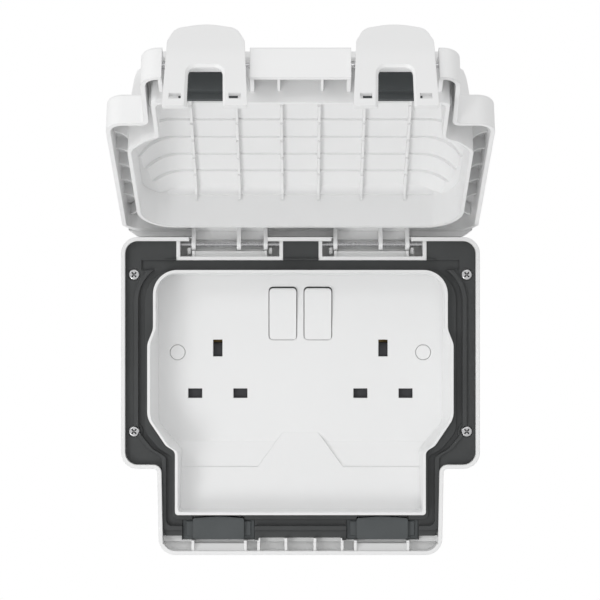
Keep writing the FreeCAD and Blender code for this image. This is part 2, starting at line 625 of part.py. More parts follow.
def make_socket_housing():
    """Rear moulding: one well for each contact, bearings for the rockers, shutter tracks."""
    half, top, low = HOUSING
    body = block(-half, half, HOUSING_FRONT, HOUSING_BACK, low, top)
    switch = block(-19.0, 19.0, HOUSING_FRONT, HOUSING_BACK - 5, top - 0.5, ROCKER_Z + 16)
    body = body.fuse(switch)
    cuts = []
    for sx in (-1, 1):
        for way, (x, z) in pin_centres(sx).items():
            w, h = (EARTH_SLOT if way == "earth" else LINE_SLOT)
            cuts.append(block(x - w / 2 - 1.4, x + w / 2 + 1.4,
                              HOUSING_FRONT - 1, HOUSING_BACK - HOUSING_SKIN,
                              z - h / 2 - 1.6, z + h / 2 + 1.6))
        x = sx * GANG_X
        cuts.append(block(x - 15.4, x + 15.4, HOUSING_FRONT - 1, HOUSING_FRONT + TRACK_DEPTH,
                          SPRING_SEAT_Z, -9.0))
        cuts.append(block(x - 4.5, x + 4.5, HOUSING_FRONT - 1, HOUSING_FRONT + TRACK_DEPTH, -9.5, 10.0))
        w, h = ROCKER_SIZE[0] / 2 + 0.9, ROCKER_SIZE[1] / 2 + 1.2
        rx = sx * ROCKER_X
        cuts.append(block(rx - w, rx + w, HOUSING_FRONT - 1, HOUSING_FRONT + SWITCH_WELL,
                          ROCKER_Z - h, ROCKER_Z + h))
    body = body.cut(cuts)
    bearings = []
    pivot_y = PLATE_Y + ROCKER_PIVOT_BACK
    w = ROCKER_SIZE[0] / 2
    for sx in (-1, 1):
        for side in (-1, 1):
            inner, outer = sorted((sx * ROCKER_X + side * (w - 2.6), sx * ROCKER_X + side * (w - 1.0)))
            post = block(inner, outer, pivot_y - 1.8, HOUSING_FRONT + SWITCH_WELL + 0.5,
                         ROCKER_Z - 2.2, ROCKER_Z + 2.2)
            bearings.append(post.cut(rod_x(ROCKER_PIN_R + 0.05, inner - 1, outer + 1, pivot_y, ROCKER_Z)))
    return join([body] + bearings)


def make_contacts(way):
    """Folded brass sockets, one for each outlet, that grip a plug's pin."""
    clips = []
    for sx in (-1, 1):
        x, z = pin_centres(sx)[way]
        w, h = (EARTH_SLOT if way == "earth" else LINE_SLOT)
        w, h = w / 2 + 0.4, h / 2 + 0.5
        sink = EARTH_CLIP_SINK if way == "earth" else LINE_CLIP_SINK
        y0, y1 = HOUSING_BACK - HOUSING_SKIN, HOUSING_FRONT + TRACK_DEPTH + sink
        clip = block(x - w - 0.7, x + w + 0.7, y0, y1, z - h - 0.7, z + h + 0.7)
        clip = clip.cut(block(x - w, x + w, y0 - 0.8, y1 - 1, z - h, z + h))
        clip = clip.cut(block(x - 0.4, x + 0.4, y0 - 1.6, y1 - 1, z - h - 1, z + h + 1))
        clips.append(clip)
    return clips


def make_shutter(sx):
    """Sliding gate behind the line slots, pushed down by the earth pin's ramp."""
    x = sx * GANG_X
    y0 = HOUSING_FRONT + TRACK_DEPTH - 0.3
    y1 = y0 - SHUTTER_THICK
    half = PIN_SPREAD / 2 + LINE_SLOT[0] / 2 + 0.4
    gate = block(x - half, x + half, y0, y1, PIN_ROW_Z - GATE_HALF, PIN_ROW_Z + GATE_HALF)
    stem = block(x - STEM_HALF, x + STEM_HALF, y0, y1, PIN_ROW_Z + GATE_HALF - 0.5, PIN_ROW_Z + STEM_TOP)
    lip = side_prism([(y0, PIN_ROW_Z + STEM_TOP, 0), (y1, PIN_ROW_Z + STEM_TOP, 0),
                      (y0, PIN_ROW_Z + LIP_TOP, 0)], x - STEM_HALF, x + STEM_HALF)
    return join([gate, stem, lip])


def helix_spring(x, y, z_low, z_high, radius, wire_r, turns):
    """Coil spring along Z."""
    path = Part.makeHelix((z_high - z_low) / turns, z_high - z_low, radius)
    path.translate(V(x, y, z_low))
    corners = [V(x + radius + a * wire_r, y, z_low + b * wire_r)
               for a, b in ((-1, -1), (1, -1), (1, 1), (-1, 1), (-1, -1))]
    return Part.Wire(path.Edges).makePipeShell([Part.makePolygon(corners)], True, True)


def make_shutter_spring(sx):
    return helix_spring(sx * GANG_X, HOUSING_FRONT + 1.3, SPRING_SEAT_Z + 0.2,
                        PIN_ROW_Z - GATE_HALF - 0.35, SPRING_R, SPRING_WIRE, SPRING_TURNS)


def terminal_places():
    """X of each terminal: two to an outlet, and the shared earth between the outlets."""
    pairs = [[sx * GANG_X - TERMINAL_SPREAD, sx * GANG_X + TERMINAL_SPREAD] for sx in (-1, 1)]
    return pairs[0] + [0.0] + pairs[1]


def make_terminals():
    """Brass terminal blocks along the housing's back, two to an outlet and a shared earth."""
    width, depth, height = TERMINAL_SIZE
    middle = HOUSING_BACK + depth / 2
    out = []
    for x in terminal_places():
        body = block(x - width / 2, x + width / 2, HOUSING_BACK, HOUSING_BACK + depth,
                     TERMINAL_Z - height / 2, TERMINAL_Z + height / 2)
        wire = Part.makeCylinder(WIRE_R, 2 * height, V(x, middle, TERMINAL_Z - height), V(0, 0, 1))
        thread = rod(TERMINAL_SCREW_R + 0.05, x, TERMINAL_Z, HOUSING_BACK + depth + 1, middle)
        out.append(body.cut([wire, thread]))
    return out


def make_terminal_screws():
    head = HOUSING_BACK + TERMINAL_SIZE[1] + 1.4
    out = []
    for x in terminal_places():
        body = rod(TERMINAL_SCREW_R, x, TERMINAL_Z, head, head - 3.8)
        slot = block(x - 2, x + 2, head - 0.8, head + 0.6, TERMINAL_Z - 0.3, TERMINAL_Z + 0.3)
        out.append(body.cut(slot))
    return out


def make_switch_bar(sx):
    """Fixed strip of brass in the switch well, with a fulcrum and one contact button."""
    x = sx * ROCKER_X
    y = HOUSING_FRONT + SWITCH_WELL
    foot = block(x - 2.0, x + 2.0, y, y - BAR_THICK,
                 ROCKER_Z - LEVER_HALF - 2.0, ROCKER_Z + LEVER_HALF + 2.0)
    fulcrum = side_prism([(y - 0.5, ROCKER_Z - 1.4, 0), (y - 0.5, ROCKER_Z + 1.4, 0),
                          (y - 2.5, ROCKER_Z, 0.3)], x - 2.0, x + 2.0)
    button = rod(1.4, x, ROCKER_Z - LEVER_HALF + 1.6, y - 0.6, y - 1.5)
    return join([foot, fulcrum, button])


def make_switch_lever(sx):
    """See-saw contact that the rocker's finger tips over."""
    x = sx * ROCKER_X
    y = HOUSING_FRONT + SWITCH_WELL - 2.8
    lever = block(x - 1.8, x + 1.8, y, y - 0.8, ROCKER_Z - LEVER_HALF, ROCKER_Z + LEVER_HALF)
    button = rod(1.2, x, ROCKER_Z - LEVER_HALF + 1.6, y + 0.35, y - 0.4)
    lever = join([lever, button])
    lever.rotate(V(x, y - 0.4, ROCKER_Z), V(1, 0, 0), -LEVER_TILT)
    return lever


def make_earth_terminal():
    """Brass earth post on the box's floor with its screw."""
    post = block(-6, 6, -BOX_FLOOR, -BOX_FLOOR - 6, 30, 36)
    hole = Part.makeCylinder(1.6, 20, V(-10, -BOX_FLOOR - 3, 33), V(1, 0, 0))
    return post.cut(hole)


def make_cable_seal(sx):
    """Soft pad that closes round a cable at the frame's lower edge."""
    x = sx * SEAL_X
    half = SEAL_WIDTH / 2 - 0.1
    y0 = -DECK_FRONT
    top = SEAL_TOP_Z - SEAL_STEP
    outer = block(x - half, x + half, y0, y0 - 3.2, top, SEAL_LOW_Z)
    raised = [(x - PAD_HALF, SEAL_TOP_Z - 0.6, 1.0), (x, SEAL_TOP_Z + 0.4, 60.0),
              (x + PAD_HALF, SEAL_TOP_Z - 0.6, 1.0), (x + PAD_HALF, SEAL_LOW_Z, 1.0),
              (x - PAD_HALF, SEAL_LOW_Z, 1.0)]
    pad = front_prism(raised, y0, y0 - PAD_HEIGHT)
    tabs = block(x - 15.6, x + 15.6, y0, y0 - 3.7, top - 0.6, SEAL_LOW_Z + 1.6)
    return join([outer, pad, tabs])


def lid_side_profile(inset=0.0):
    """Side view of the lid's dome, as (y, z) corners with their radii."""
    def at(s, t):
        return (HINGE_Y - t, HINGE_Z - s)
    top = HINGE_Z - INNER_TOP_Z - INNER_WALL / 2
    end = HINGE_Z - INNER_BOTTOM_Z + INNER_WALL / 2
    lift = math.tan(math.radians(10.2))
    back = CAVITY_HEIGHT + SKIN - inset
    peak = 100.0
    corners = [
        at(top + inset, 0) + (0,),
        at(top + inset, back) + (max(6.0 - inset, 1.0),),
        at(peak, back + lift * (peak - top)) + (30.0,),
        at(end - inset, back + 3.0) + (max(9.0 - inset, 2.0),),
        at(end - inset, 0) + (0,),
    ]
    return corners


def cross_section(half, height, radius, z):
    """Face of the cavity across the lid: a low arch with round shoulders."""
    y0 = HINGE_Y - height
    rim = LID_RIM_Y + TIP_REACH + 2
    corners = [(-half, rim, 0), (half, rim, 0), (half, y0, radius), (-half, y0, radius)]
    return Part.Face(rounded_wire(corners, lambda a, b: V(a, b, z)))


def make_cavity():
    """Stepped inside of the dome: each terrace is a little wider and deeper than the last."""
    half = INNER_HALF - INNER_WALL / 2
    low = HINGE_Z - INNER_BOTTOM_Z - INNER_WALL / 2
    pieces = []
    s = HINGE_Z - INNER_TOP_Z + INNER_WALL / 2
    height = CAVITY_HEIGHT
    length = CREASE_S + 14 - s
    for k in range(TERRACES + 2):
        if k == TERRACES + 1:
            length = low - s
        face = cross_section(half + 1.0, height, SECTION_R - 1.5 * k, HINGE_Z - s)
        slope = TERRACE_SLOPE if k <= TERRACES else 0.0
        pieces.append(face.extrude(V(0, -slope * length, -length)))
        s += length
        height += slope * length + TERRACE_RISER
        length = TERRACE_PITCH
    cavity = join(pieces)
    inner = front_prism(groove_outline(-INNER_WALL / 2), LID_RIM_Y + TIP_REACH + 1, HINGE_Y - 60)
    ceiling = side_prism(lid_side_profile(SKIN), -90, 90)
    return cavity.common(inner).common(ceiling)


def make_ribs(cavity):
    """Six stiffening ribs that follow the terraces down the inside of the dome."""
    slabs = []
    for x in RIB_X:
        for sx in (-1, 1):
            slabs.append(block(sx * x - RIB_THICK / 2, sx * x + RIB_THICK / 2,
                               HINGE_Y - 18, HINGE_Y - 60, HINGE_Z - CREASE_S, INNER_BOTTOM_Z))
    lowered = cavity.copy()
    lowered.translate(V(0, RIB_HEIGHT, -0.6))
    return [slab.common(cavity).cut(lowered) for slab in slabs]


def latch_zone(sx, grow=0.0):
    half = LATCH_WIDTH / 2 + LATCH_GAP + grow
    return sx * LATCH_X - half, sx * LATCH_X + half


def gusset(sx, z, y_back):
    """Web across a side channel whose free edge sweeps down from the inner wall."""
    x_in, x_out = INNER_HALF - 1.0, HALF_WIDTH
    y_in, y_out = LID_RIM_Y - 0.8, LID_RIM_Y - 0.8 - GUSSET_DIP
    points = [V(sx * x, y, z - GUSSET_THICK / 2) for x, y in
              ((x_in, y_in), (x_in + 0.32 * (x_out - x_in), y_in - 0.72 * GUSSET_DIP), (x_out, y_out),
               (x_out, y_back), (x_in, y_back))]
    edges = [Part.Arc(points[0], points[1], points[2]).toShape()]
    edges += [Part.LineSegment(a, b).toShape() for a, b in zip(points[2:], points[3:] + points[:1])]
    return Part.Face(Part.Wire(edges)).extrude(V(0, 0, GUSSET_THICK))


def make_lid():
    tip = LID_RIM_Y + TIP_REACH
    top = HINGE_Y - LATCH_TOP - 20
    skirt_top = LID_RIM_Y - SKIRT_HEIGHT
    skirt = front_prism(body_outline(), LID_RIM_Y, skirt_top)
    edge = [e for e in skirt.Edges if abs(e.CenterOfMass.y - skirt_top) < 1e-3]
    skirt = skirt.makeFillet(1.6, edge)
    skirt = skirt.cut(front_prism(body_outline(LID_WALL), LID_RIM_Y + 1, skirt_top + LID_WALL))
    dome = front_prism(groove_outline(INNER_WALL / 2), tip, top)
    across = Part.Face(rounded_wire(
        [(-90, tip + 1, 0), (90, tip + 1, 0), (90, skirt_top, 0),
         (INNER_HALF + 1.0, skirt_top, 0), (INNER_HALF - 3.0, HINGE_Y - 49, 13.0),
         (-INNER_HALF + 3.0, HINGE_Y - 49, 13.0), (-INNER_HALF - 1.0, skirt_top, 0), (-90, skirt_top, 0)],
        lambda a, b: V(a, b, 80))).extrude(V(0, 0, -200))
    dome = dome.common(side_prism(lid_side_profile(), -90, 90)).common(across)
    cavity = make_cavity()
    shell = skirt.fuse(dome).removeSplitter().cut(cavity)
    shell = shell.cut(rod_x(SWING_R, -90, 90, HINGE_Y, HINGE_Z))
    shell = shell.cut(front_prism(groove_outline(-INNER_WALL / 2), tip + 1, HINGE_Y - CAVITY_HEIGHT + 4))
    adds, cuts = make_ribs(cavity), []
    channel = front_prism(body_outline(LID_WALL - 0.3), LID_RIM_Y - 1.5, skirt_top + 1)
    channel = channel.cut(front_prism(groove_outline(INNER_WALL / 2 - 0.3), tip + 1, top))
    for z in GUSSET_Z:
        for sx in (-1, 1):
            adds.append(gusset(sx, z, skirt_top + 1).common(channel))
    for sx in (-1, 1):
        adds.append(block(sx * 9.3 - 0.6, sx * 9.3 + 0.6, LID_RIM_Y - 1.5, skirt_top + 1,
                          INNER_BOTTOM_Z, BOTTOM_Z + 1).common(channel))
        x0, x1 = latch_zone(sx)
        cuts.append(block(x0, x1, LID_RIM_Y + 1, skirt_top - 1, BOTTOM_Z - 1, BOTTOM_Z + 9.6))
        cuts.append(block(sx * SEAL_X - WINDOW_HALF, sx * SEAL_X + WINDOW_HALF, tip + 1, LID_RIM_Y - 10.5,
                          INNER_BOTTOM_Z - 3, INNER_BOTTOM_Z + 3))
    shell = join([shell] + adds).cut(cuts)
    return join([shell] + lid_knuckles() + latch_cheeks()).cut(hinge_bores() + latch_bores())


def lid_knuckles():
    """Lugs that reach from the lid's hinge side down into the frame's pockets."""
    lugs = []
    for x0, _ in POCKETS:
        for offset in LUG_OFFSETS:
            x = x0 + offset
            arm = side_prism([(HINGE_Y + LUG_R, HINGE_Z - LUG_R, LUG_R - 0.05),
                              (HINGE_Y + LUG_R, HINGE_Z + LUG_R, LUG_R - 0.05),
                              (LID_RIM_Y - 2, HINGE_Z + LUG_R, 0), (LID_RIM_Y - 6, TOP_Z - 1, 0),
                              (LID_RIM_Y - 8, INNER_TOP_Z + 0.4, 0), (LID_RIM_Y - 2, INNER_TOP_Z + 0.4, 0),
                              (LID_RIM_Y - 1.2, HINGE_Z - LUG_R, 1.0)],
                             x - LUG_THICK / 2, x + LUG_THICK / 2)
            lugs.append(arm)
        lugs.append(block(x0 + LUG_OFFSETS[0], x0 + LUG_OFFSETS[2], LID_RIM_Y - 2.0, LID_RIM_Y - 3.4,
                          INNER_TOP_Z, TOP_Z - 1))
    return lugs


def hinge_bores():
    return [rod_x(PIN_R + PIN_CLEAR, x0, x1, HINGE_Y, HINGE_Z) for x0, x1 in POCKETS]


def latch_axis():
    return HINGE_Y - LATCH_PIVOT[0], BOTTOM_Z + LATCH_PIVOT[1]


def latch_cheeks():
    """Pairs of cheeks in the lid's end channel that hold the latch pins."""
    y, z = latch_axis()
    cheeks = []
    for sx in (-1, 1):
        x0, x1 = latch_zone(sx)
        for a, b in ((x0 - CHEEK, x0), (x1, x1 + CHEEK)):
            cheeks.append(block(a, b, LID_RIM_Y - 1.0, LID_RIM_Y - SKIRT_HEIGHT + 1,
                                BOTTOM_Z + 1.0, INNER_BOTTOM_Z + 0.5))
    return cheeks


def latch_bores():
    y, z = latch_axis()
    return [rod_x(LATCH_PIN_R, *latch_zone(sx, CHEEK + 1), y, z) for sx in (-1, 1)]


def make_latch(sx):
    """Flat over-centre latch: a thumb tab above, a cable arch and two catch windows below."""
    tail, top = HINGE_Y + LATCH_TAIL, HINGE_Y - LATCH_TOP
    half = LATCH_WIDTH / 2
    x = sx * LATCH_X
    face_z = BOTTOM_Z - 0.3
    taper = 1.2
    plan = [(x - half - 0.3, tail, 0.8), (x - half + taper, top + 8.5, 3.0),
            (x - half + 4.6, top + 1.8, 6.0), (x, top - 0.7, 30.0), (x + half - 4.6, top + 1.8, 6.0),
            (x + half - taper, top + 8.5, 3.0), (x + half + 0.3, tail, 0.8)]
    face = Part.Face(rounded_wire(plan, lambda a, b: V(a, b, face_z)))
    plate = face.extrude(V(0, 0, -LATCH_THICK))
    crown = side_prism([(tail + 1, face_z + 1, 0), (tail + 1, face_z - LATCH_THICK, 0),
                        (HINGE_Y - 20, face_z - LATCH_THICK, 40.0), (top - 1, face_z - 0.6, 0),
                        (top - 1, face_z + 1, 0)], x - half - 2, x + half + 2)
    plate = plate.common(crown)
    y, z = latch_axis()
    arch_y = HINGE_Y - ARCH_TOP
    arch = [(x - ARCH_WIDTH / 2, tail + 3, 0), (x + ARCH_WIDTH / 2, tail + 3, 0),
            (x + ARCH_WIDTH / 2 - 0.4, arch_y, ARCH_R), (x - ARCH_WIDTH / 2 + 0.4, arch_y, ARCH_R)]
    cuts = [Part.Face(rounded_wire(arch, lambda a, b: V(a, b, face_z + 1))).extrude(V(0, 0, -6))]
    for side in (-1, 1):
        cx = x + side * CATCH_X
        cy = HINGE_Y - CATCH_T
        cuts.append(block(cx - CATCH_SLOT[0] / 2, cx + CATCH_SLOT[0] / 2, cy - CATCH_SLOT[1] / 2,
                          cy + CATCH_SLOT[1] / 2, face_z + 1, face_z - 6))
    adds = [rod_x(LATCH_PIN_R + 1.5, x - half + 1.0, x + half - 1.0, y, z)]
    for side in (-1, 1):
        ex = x + side * (half - 3.0)
        adds.append(block(ex - 2.0, ex + 2.0, y - 2.6, y + 2.6, face_z - 0.5, z))
    plate = plate.cut(cuts)
    lip = [e for e in plate.Edges if abs(e.CenterOfMass.x - x) < ARCH_WIDTH / 2 and
           abs(e.CenterOfMass.y - arch_y) < ARCH_R and e.BoundBox.ZMax < face_z - LATCH_THICK + 0.6]
    plate = join([plate.makeChamfer(ARCH_BEVEL, lip)] + adds)
    return plate.cut(rod_x(LATCH_PIN_R + PIN_CLEAR, x - 40, x + 40, y, z))


def make_latch_pins():
    y, z = latch_axis()
    return [rod_x(LATCH_PIN_R, *latch_zone(sx, CHEEK - 0.2), y, z) for sx in (-1, 1)]


def make_lid_seal(sx):
    """Soft block behind a latch's arch, in the window of the lid's inner end wall."""
    x = sx * SEAL_X
    plug = block(x - WINDOW_HALF, x + WINDOW_HALF, -DECK_FRONT - PAD_HEIGHT - 0.3, LID_RIM_Y - 10.5,
                 INNER_BOTTOM_Z - 0.9, INNER_BOTTOM_Z + 0.9)
    flange = block(x - WINDOW_HALF - 1.5, x + WINDOW_HALF + 1.5, LID_RIM_Y - 0.5, LID_RIM_Y - 12.5,
                   INNER_BOTTOM_Z - 0.9, INNER_BOTTOM_Z - 2.9)
    return join([plug, flange])


def open_lid(shape):
    shape.rotate(V(0, HINGE_Y, HINGE_Z), V(1, 0, 0), -OPEN_ANGLE)
    return shape


def save(name, shapes):
    group = shapes if isinstance(shapes, list) else [shapes]
    solids = [solid for shape in group for solid in shape.Solids]
    whole = solids[0] if len(solids) == 1 else Part.makeCompound(solids)
    whole.exportStep("parts/" + name + ".step")
    box = whole.BoundBox
    print(f"{name:22s} solids {len(solids)} valid {whole.isValid()} volume {whole.Volume:9.1f} "
          f"x {box.XMin:.1f} {box.XMax:.1f} y {box.YMin:.1f} {box.YMax:.1f} z {box.ZMin:.1f} {box.ZMax:.1f}")


def main():
    os.makedirs("parts", exist_ok=True)
    save("back_box", make_back_box())
    save("box_seal", make_box_seal())
    save("front_frame", make_front_frame())
    save("frame_gasket", make_frame_gasket())
    save("socket_plate", make_socket_plate())
    save("corner_screws", make_corner_screws())
    save("screw_caps", make_screw_caps())
    save("plate_screws", make_plate_screws())
    save("plate_inserts", make_plate_inserts())
    save("socket_housing", make_socket_housing())
    for way in ("live", "neutral", "earth"):
        save(way + "_contacts", make_contacts(way))
    save("terminal_blocks", make_terminals())
    save("terminal_screws", make_terminal_screws())
    save("earth_terminal", make_earth_terminal())
    save("hinge_pins", make_hinge_pins())
    save("lid", open_lid(make_lid()))
    save("latch_pins", [open_lid(pin) for pin in make_latch_pins()])
    for side, sx in (("left", -1), ("right", 1)):
        save("rocker_" + side, make_rocker(sx))
        save("shutter_" + side, make_shutter(sx))
        save("shutter_spring_" + side, make_shutter_spring(sx))
        save("switch_bar_" + side, make_switch_bar(sx))
        save("switch_lever_" + side, make_switch_lever(sx))
        save("cable_seal_" + side, make_cable_seal(sx))
        save("latch_" + side, open_lid(make_latch(sx)))
        save("lid_seal_" + side, open_lid(make_lid_seal(sx)))


main()
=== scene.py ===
"""Looks of the outdoor weatherproof double socket, dressed over its solids. Metres."""
import json
import math
import bmesh
import bpy
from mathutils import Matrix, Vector


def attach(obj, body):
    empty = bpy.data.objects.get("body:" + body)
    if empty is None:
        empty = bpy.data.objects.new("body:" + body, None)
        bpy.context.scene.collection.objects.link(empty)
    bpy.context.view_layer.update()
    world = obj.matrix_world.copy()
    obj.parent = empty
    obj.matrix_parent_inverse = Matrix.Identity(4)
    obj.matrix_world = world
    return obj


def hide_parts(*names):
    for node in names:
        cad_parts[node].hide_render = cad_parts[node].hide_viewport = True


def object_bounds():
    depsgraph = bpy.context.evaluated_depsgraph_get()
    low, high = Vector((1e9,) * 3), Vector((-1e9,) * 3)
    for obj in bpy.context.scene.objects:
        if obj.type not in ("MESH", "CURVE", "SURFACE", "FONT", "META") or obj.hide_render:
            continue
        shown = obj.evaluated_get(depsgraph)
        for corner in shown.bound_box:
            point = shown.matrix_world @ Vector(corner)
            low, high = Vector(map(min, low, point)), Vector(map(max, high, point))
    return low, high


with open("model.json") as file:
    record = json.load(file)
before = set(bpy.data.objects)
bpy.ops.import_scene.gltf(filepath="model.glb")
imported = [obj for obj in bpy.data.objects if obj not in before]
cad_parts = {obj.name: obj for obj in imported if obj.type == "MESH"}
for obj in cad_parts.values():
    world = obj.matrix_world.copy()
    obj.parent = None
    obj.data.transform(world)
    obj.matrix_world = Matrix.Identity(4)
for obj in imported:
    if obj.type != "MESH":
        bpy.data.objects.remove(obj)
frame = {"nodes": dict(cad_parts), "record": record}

cad_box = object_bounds()
nodes = frame["nodes"]

# Photograph: 600 px square, seen level and straight on
IMAGE_PX = 600
FOCAL_PX = 2146.0
CAMERA_Y = -1.095
EYE_Z = 0.0257
CENTRE_X = -0.0002
SENSOR = 36.0

# Stage: a floor well below the object, whose shadow fades into white further off
FLOOR_DROP = 0.75
FLOOR_HALF = 8.0
FLOOR_TONE = 0.88
FADE_FROM, FADE_TO = 0.3, 2.2
AMBIENT = 0.70
LAMP_TARGET = (0.0, -0.06, 0.02)
LAMPS = {
    "key_left": ((-1.15, -1.35, 0.85), 0.5, 3.4),
    "low_left": ((-0.7, -1.0, -0.68), 0.6, 5.2),
    "front_high": ((0.1, -1.5, 0.95), 0.6, 1.6),
}

# Tones, linear
WHITE = (0.85, 0.852, 0.85)
WHITE_LID = (0.93, 0.932, 0.932)
WHITE_LATCH = (0.89, 0.892, 0.892)
WHITE_PLATE = (0.87, 0.873, 0.873)
ELASTOMER = (0.036, 0.038, 0.0385)
PAD = (0.056, 0.062, 0.064)
FOAM = (0.09, 0.09, 0.095)
STEEL = (0.62, 0.62, 0.63)
BRASS = (0.52, 0.38, 0.18)
GATE = (0.05, 0.05, 0.055)
INNER_WHITE = (0.66, 0.66, 0.63)
ZINC = (0.78, 0.78, 0.79)
# Painted shade: near-black mixed into the metal's colour where ambient occlusion finds a recess, over this
# range of occlusion
RECESS_SHADE_TONE = (0.02, 0.02, 0.022)
RECESS_FROM, RECESS_TO = 0.45, 0.85

# Sockets of the colour mix node
MIX_FACTOR, MIX_FIRST, MIX_SECOND, MIX_RESULT = 0, 6, 7, 2

# The lid's hinge, and the pockets and lugs along it
HINGE_Y = -0.0497
HINGE_Z = 0.0528
OPEN = math.radians(113.3)
POCKET_STARTS = (-0.0601, 0.0088)
LUGS = (0.0082, 0.0302, 0.0432)
LUG_HALF = 0.001

# Lip along the lid's hinge side: its two faces, its ends and its sloped root
LIP_IN, LIP_OUT = -0.0034, -0.0050
LIP_END, FLAP_END, WALL_END = 0.0059, 0.0042, 0.0086
LIP_ROOT_OUT, LIP_ROOT_IN = 0.0105, 0.0145
LIP_THICK = 0.0016
LIP_FIT = 0.0001
OUTLINE_R = 0.008
OUTLINE_X = 0.0787
CORNER_TURN = 40.0
CORNER_STEPS = 8

# Webs in the corners of the lid's channel
WEB_START, WEB_END = (0.0715, 0.0161), (0.0832, 0.0002)
WEB_HALF = 0.0006
WEB_LOW, WEB_RISE, WEB_CURVE = 0.0094, 0.0062, 2.2
WEB_FOOT = 0.0215
WEB_STEPS = 8

# Cells of the skirt, and what is cut from the ledge over them
CELL_RIBS = (0.0070, 0.0202, 0.0266, 0.0520)
RIB_HALF = 0.0007
SKIRT_HALF = 0.0665
CUT_Y = (-0.0590, -0.0520)
CUT_Z = (-0.0922, -0.0878)
MERGE_GAP = 1e-6

# Fittings on the floors of the hinge pockets
BAR_OVERHANG, BAR_Y, BAR_Z = 0.0004, (-0.0520, -0.0463), (0.0463, 0.0495)
END_RIB_HALF, END_RIB_Y, END_RIB_Z = 0.0007, (-0.0534, -0.0464), (0.0462, 0.0497)
KNOB_WIDTH, KNOB_Y, KNOB_Z = 0.0018, (-0.0505, -0.0465), (0.0480, 0.0513)
KNOB_BEFORE, KNOB_AFTER = 0.0031, 0.0014

# Collars of the gasket round the corner screws
COLLAR_IN, COLLAR_OUT = 0.0027, 0.0045
COLLAR_BACK, COLLAR_FRONT = -0.05372, -0.0540
COLLAR_SIDES = 40
CORNER_FIX = (0.0806, 0.0380)


class Recipe:
    """A material's node tree, with short calls for the nodes that the finishes share."""

    def __init__(self, name):
        self.material = bpy.data.materials.new(name)
        self.material.use_nodes = True
        self.tree = self.material.node_tree
        self.shader = self.tree.nodes["Principled BSDF"]
        self.coords = self.add("ShaderNodeTexCoord").outputs["Object"]

    def add(self, kind, **settings):
        node = self.tree.nodes.new(kind)
        for key, value in settings.items():
            setattr(node, key, value)
        return node

    def link(self, source, target):
        self.tree.links.new(source, target)

    def noise(self, scale, detail=3.0, rough=0.55):
        node = self.add("ShaderNodeTexNoise")
        node.inputs["Scale"].default_value = scale
        node.inputs["Detail"].default_value = detail
        node.inputs["Roughness"].default_value = rough
        self.link(self.coords, node.inputs["Vector"])
        return node.outputs["Fac"]

    def spread(self, source, low, high):
        node = self.add("ShaderNodeMapRange")
        node.inputs["To Min"].default_value = low
        node.inputs["To Max"].default_value = high
        self.link(source, node.inputs["Value"])
        return node.outputs["Result"]

    def blend(self, factor, first, second):
        node = self.add("ShaderNodeMix", data_type="RGBA")
        node.inputs[MIX_FIRST].default_value = (*first, 1.0)
        node.inputs[MIX_SECOND].default_value = (*second, 1.0)
        self.link(factor, node.inputs[MIX_FACTOR])
        return node.outputs[MIX_RESULT]

    def relief(self, height, strength, distance, edge_radius=0.0):
        bump = self.add("ShaderNodeBump")
        bump.inputs["Strength"].default_value = strength
        bump.inputs["Distance"].default_value = distance
        self.link(height, bump.inputs["Height"])
        if edge_radius > 0:
            soft = self.add("ShaderNodeBevel", samples=4)
            soft.inputs["Radius"].default_value = edge_radius
            self.link(soft.outputs["Normal"], bump.inputs["Normal"])
        self.link(bump.outputs["Normal"], self.shader.inputs["Normal"])


def moulded(name, colour, rough, grain, edge_radius, shade=0.965):
    """Injection-moulded plastic: faint tone drift, fine spark-eroded grain and soft edges."""
    r = Recipe(name)
    drift = r.blend(r.noise(9.0, 2.0), tuple(c * shade for c in colour), colour)
    r.link(drift, r.shader.inputs["Base Color"])
    r.link(r.spread(r.noise(60.0, 3.0), rough - 0.05, rough + 0.06), r.shader.inputs["Roughness"])
    r.shader.inputs["Specular IOR Level"].default_value = 0.42
    r.relief(r.noise(2600.0, 2.0), grain, 0.00006, edge_radius)
    return r.material


def elastomer(name, colour, rough, edge_radius):
    """Soft seal compound: dark, satin, with a bloom that lightens it in patches."""
    r = Recipe(name)
    bloom = tuple(min(1.0, c * 1.45 + 0.004) for c in colour)
    r.link(r.blend(r.spread(r.noise(55.0, 4.0), 0.0, 1.0), colour, bloom), r.shader.inputs["Base Color"])
    r.link(r.spread(r.noise(140.0, 3.0), rough - 0.06, rough + 0.08), r.shader.inputs["Roughness"])
    r.shader.inputs["Specular IOR Level"].default_value = 0.45
    r.relief(r.noise(1700.0, 3.0), 0.35, 0.00008, edge_radius)
    return r.material


def metal(name, colour, rough, scratch, edge_radius, recess=0.0):
    """Drawn or plated metal with fine streaks, and painted shade that darkens its colour where a recess
    keeps the light out.
    """
    r = Recipe(name)
    dull = tuple(c * 0.8 for c in colour)
    tone = r.blend(r.noise(420.0, 4.0), dull, colour)
    # Painted shade: ambient occlusion mixes the dark recess colour into the base colour, darkest deep in
    # recesses
    if recess > 0:
        hollow = r.add("ShaderNodeAmbientOcclusion", samples=8)
        hollow.inputs["Distance"].default_value = recess
        shade = r.add("ShaderNodeMix", data_type="RGBA")
        shade.inputs[MIX_FIRST].default_value = (*RECESS_SHADE_TONE, 1.0)
        steep = r.add("ShaderNodeMapRange")
        steep.inputs["From Min"].default_value = RECESS_FROM
        steep.inputs["From Max"].default_value = RECESS_TO
        r.link(hollow.outputs["AO"], steep.inputs["Value"])
        r.link(steep.outputs["Result"], shade.inputs[MIX_FACTOR])
        r.link(tone, shade.inputs[MIX_SECOND])
        tone = shade.outputs[MIX_RESULT]
    r.link(tone, r.shader.inputs["Base Color"])
    r.link(r.spread(r.noise(900.0, 3.0), rough - 0.08, rough + 0.12), r.shader.inputs["Roughness"])
    r.shader.inputs["Metallic"].default_value = 1.0
    r.relief(r.noise(3200.0, 2.0), scratch, 0.00004, edge_radius)
    return r.material


